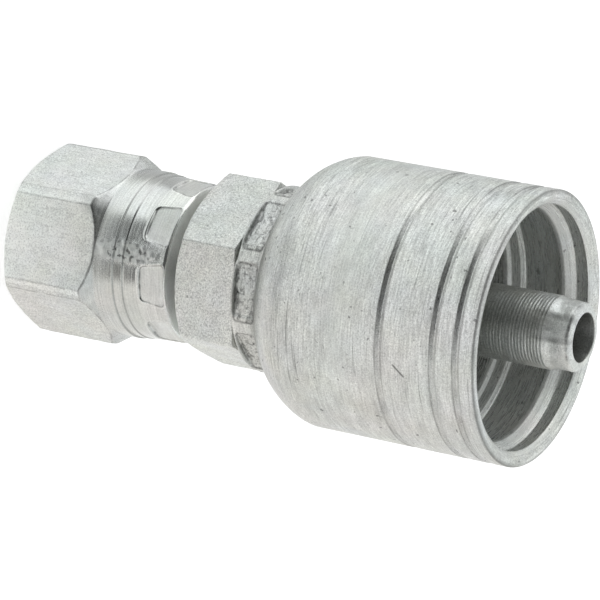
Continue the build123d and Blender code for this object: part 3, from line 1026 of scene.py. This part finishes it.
def shell_material():
    """Zinc plating of the shell: satin with fine turning lines, painted calmer on one side where the light
    would hide them, and duller inside.
    """
    nodes = Surface("shell_zinc")
    fine = nodes.lines(0.13, 6.0, 0.8)
    broad = nodes.lines(0.9, 2.5, 0.8)
    cuts = nodes.ramp(nodes.lines(0.3, 1.0, 0.8), 0.37, 0.31)
    grain = nodes.noise(7500, 3.0, 0.8)
    cloud = nodes.noise(380, 3.0, 0.6)
    broken = nodes.ramp(nodes.noise(1500, 1.0), 0.4, 0.55, 0.4, 1.0)
    pits = nodes.ramp(nodes.noise(1900, 1.0), 0.28, 0.23)
    scratch = nodes.scratch(SCRATCH_START, SCRATCH_END, SHELL_R, SCRATCH_HALF_WIDTH)
    face, trench, crumbs = stake_marks(nodes)
    flank, groove_edge = groove_marks(nodes)
    foot = nodes.ramp(nodes.band(nodes.height, SHOULDER_START - 0.1, 1.0), 0.0, 0.6)
    rim = nodes.product(nodes.band(nodes.height, MOUTH_HEIGHT - RIM_EDGE / 2, 0.14),
                        nodes.ramp(nodes.radius, SHELL_R - 0.35, SHELL_R - 0.25))
    inner = nodes.product(nodes.ramp(nodes.radius, GROOVE_BORE_R + 0.25, GROOVE_BORE_R + 0.15),
                          nodes.ramp(nodes.height, MOUTH_HEIGHT - 0.1, MOUTH_HEIGHT - 0.4),
                          nodes.ramp(nodes.height, FLOOR_HEIGHT - 0.4, FLOOR_HEIGHT - 0.2))

    # Lines and grain are weaker inside, in the middle of the barrel, and on one side, where they are painted
    # calmer to stand in for the light there
    calm_side_painted = nodes.product(nodes.sector(325, 55), 0.7)
    barrel = nodes.product(nodes.band(nodes.height, CALM_MIDDLE, CALM_HALF_LENGTH), 0.8)
    calm = nodes.most(inner, calm_side_painted, barrel)
    brushed = nodes.blend(calm, nodes.swing(fine, 1.35), nodes.swing(fine, 0.5))
    speckled = nodes.blend(calm, nodes.swing(grain, 1.75), nodes.swing(grain, 1.0))
    level = nodes.product(brushed, nodes.swing(broad, 0.35), speckled, nodes.swing(cloud, 0.35), SHELL_LEVEL)
    level = nodes.dimmed(level, (
        # Painted shade at the grooves' edges
        (nodes.product(groove_edge, nodes.ramp(cloud, 0.35, 0.55, 0.4, 1.0)), 0.3),
        (nodes.product(cuts, nodes.dim(inner, 0.7)), 0.42),
        (pits, 0.55),
        (scratch, 0.8),
        (nodes.product(trench, broken), 0.6),
        (crumbs, 0.48),
        (face, 0.06),
        (foot, 0.2),
        # Painted shade on the grooves' steep sides
        (flank, 0.22),
        (rim, 0.55),
    ))

    normal = nodes.bump(fine, 0.5, 0.03)
    normal = nodes.bump(grain, 0.5, 0.04, normal)
    base = nodes.blend(nodes.most(inner, flank), SHELL_ROUGHNESS, SHELL_INNER_ROUGHNESS)
    roughness = nodes.product(nodes.swing(fine, 0.4), base)
    lands = nodes.ramp(nodes.radius, GRIP_LOW_R + 0.12, GRIP_LOW_R + 0.06, 0.5, 1.0)
    nodes.finish(level, roughness, normal, metallic=nodes.dim(nodes.product(inner, lands), 0.7))

    # Turned metal spreads its reflections across the lines
    round_axis = nodes.node("ShaderNodeTangent", direction_type="RADIAL", axis="Z")
    nodes.link(round_axis.outputs[0], nodes.shader.inputs["Tangent"])
    nodes.shader.inputs["Anisotropic"].default_value = 0.7
    return nodes.material


def dress(piece, body, node, material):
    """Puts a piece in the place of its CAD node, on the node's body."""
    piece.data.materials.append(material)
    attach(piece, body)
    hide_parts(node)


dress(make_nut(), "nut", "swivel_nut", nut_material())
dress(make_stem(), "root", "stem", stem_material())
dress(make_shell(), "root", "shell", shell_material())


# Camera and studio

def make_camera():
    """The camera at the photograph's viewing angle."""
    data = bpy.data.cameras.new("camera")
    data.sensor_width = SENSOR_WIDTH
    data.lens = FOCAL_PIXELS / FRAME_PIXELS * SENSOR_WIDTH
    data.clip_start = CLIP_NEAR
    data.clip_end = CLIP_FAR
    camera = add_object("camera", data)
    axes = Matrix((CAMERA_RIGHT, CAMERA_UP, CAMERA_BACK)).transposed()
    camera.matrix_world = Matrix.Translation(Vector(CAMERA_PLACE) * MM) @ axes.to_4x4()
    bpy.context.scene.camera = camera


def on_card(nodes):
    """1 on the dark card, a part of a ring on the floor in front of the fitting, with soft edges."""
    inner = nodes.ramp(nodes.radius, CARD_INNER_R - CARD_SOFT, CARD_INNER_R)
    outer = nodes.ramp(nodes.radius, CARD_OUTER_R + CARD_SOFT, CARD_OUTER_R)
    ahead = nodes.most(nodes.math("MULTIPLY", nodes.y, -1), MM)
    slant = nodes.math("DIVIDE", nodes.math("ABSOLUTE", nodes.x), ahead)
    return nodes.product(inner, outer, nodes.ramp(slant, *CARD_SIDES))


def floor_material():
    """Grey that the camera sees as white. Reflected light passes through it, weakened only by the card."""
    nodes = Surface("floor_white")
    nodes.tree.nodes.remove(nodes.shader)
    path = nodes.node("ShaderNodeLightPath")
    plain = nodes.node("ShaderNodeBsdfDiffuse")
    plain.inputs["Color"].default_value = (FLOOR_GREY, FLOOR_GREY, FLOOR_GREY, 1)
    glow = nodes.node("ShaderNodeEmission")
    glow.inputs["Color"].default_value = (1, 1, 1, 1)
    nodes.link(nodes.math("MULTIPLY", path.outputs["Is Camera Ray"], FLOOR_GLOW), glow.inputs["Strength"])
    both = nodes.node("ShaderNodeAddShader")
    nodes.link(plain.outputs[0], both.inputs[0])
    nodes.link(glow.outputs[0], both.inputs[1])
    seen = nodes.dim(on_card(nodes), CARD_LOSS)
    window = nodes.node("ShaderNodeBsdfTransparent")
    nodes.link(nodes.combine(seen, seen, seen), window.inputs["Color"])
    through = nodes.node("ShaderNodeMixShader")
    nodes.link(path.outputs["Is Glossy Ray"], through.inputs[0])
    nodes.link(both.outputs[0], through.inputs[1])
    nodes.link(window.outputs[0], through.inputs[2])
    nodes.link(through.outputs[0], nodes.tree.nodes["Material Output"].inputs["Surface"])
    return nodes.material


def make_floor():
    """A pale floor, white to the camera but for its soft shadow."""
    half = FLOOR_HALF_WIDTH
    mesh = bpy.data.meshes.new("floor")
    points = [(-half, -half, 0), (half, -half, 0), (half, half, 0), (-half, half, 0)]
    mesh.from_pydata(points, [], [(0, 1, 2, 3)])
    mesh.materials.append(floor_material())
    floor = add_object("floor", mesh)


def make_world():
    """Pale surroundings by direction: a bright top, and darker parts below, behind and near the camera."""
    world = bpy.data.worlds.new("studio")
    world.use_nodes = True
    bpy.context.scene.world = world
    nodes = Nodes(world.node_tree)
    background = nodes.tree.nodes["Background"]
    direction = nodes.node("ShaderNodeTexCoord").outputs["Generated"]
    level = BASE_LIGHT
    for patch in (BRIGHT_TOP, DIM_BOTTOM, DIM_BACK, DARK_ROOM):
        share = nodes.ramp(nodes.dot(direction, patch.side), patch.begins, patch.full, course="SMOOTHSTEP")
        level = nodes.math("ADD", level, nodes.math("MULTIPLY", share, patch.change))
    nodes.link(level, background.inputs["Strength"])
    warmth = nodes.ramp(nodes.dot(direction, WARM_SIDE), WARM_BEGINS, WARM_FULL, course="SMOOTHSTEP")
    tint = nodes.node("ShaderNodeMix", data_type="RGBA")
    nodes.link(warmth, tint.inputs["Factor"])
    tint.inputs["A"].default_value = (*COOL_LIGHT, 1)
    tint.inputs["B"].default_value = (*WARM_LIGHT, 1)
    nodes.link(tint.outputs["Result"], background.inputs["Color"])


def make_lamp():
    """A square lamp that softly lights the picture's top."""
    data = bpy.data.lights.new("top_lamp", "AREA")
    data.shape = "SQUARE"
    data.size = LAMP_SIZE
    data.energy = LAMP_POWER
    lamp = add_object("top_lamp", data)
    lamp.location = Vector(LAMP_PLACE)
    lamp.rotation_mode = "QUATERNION"
    lamp.rotation_quaternion = (Vector(LAMP_TARGET) - Vector(LAMP_PLACE)).to_track_quat("-Z", "Y")


make_camera()
make_floor()
make_world()
make_lamp()

bpy.context.scene.view_settings.view_transform = "Standard"
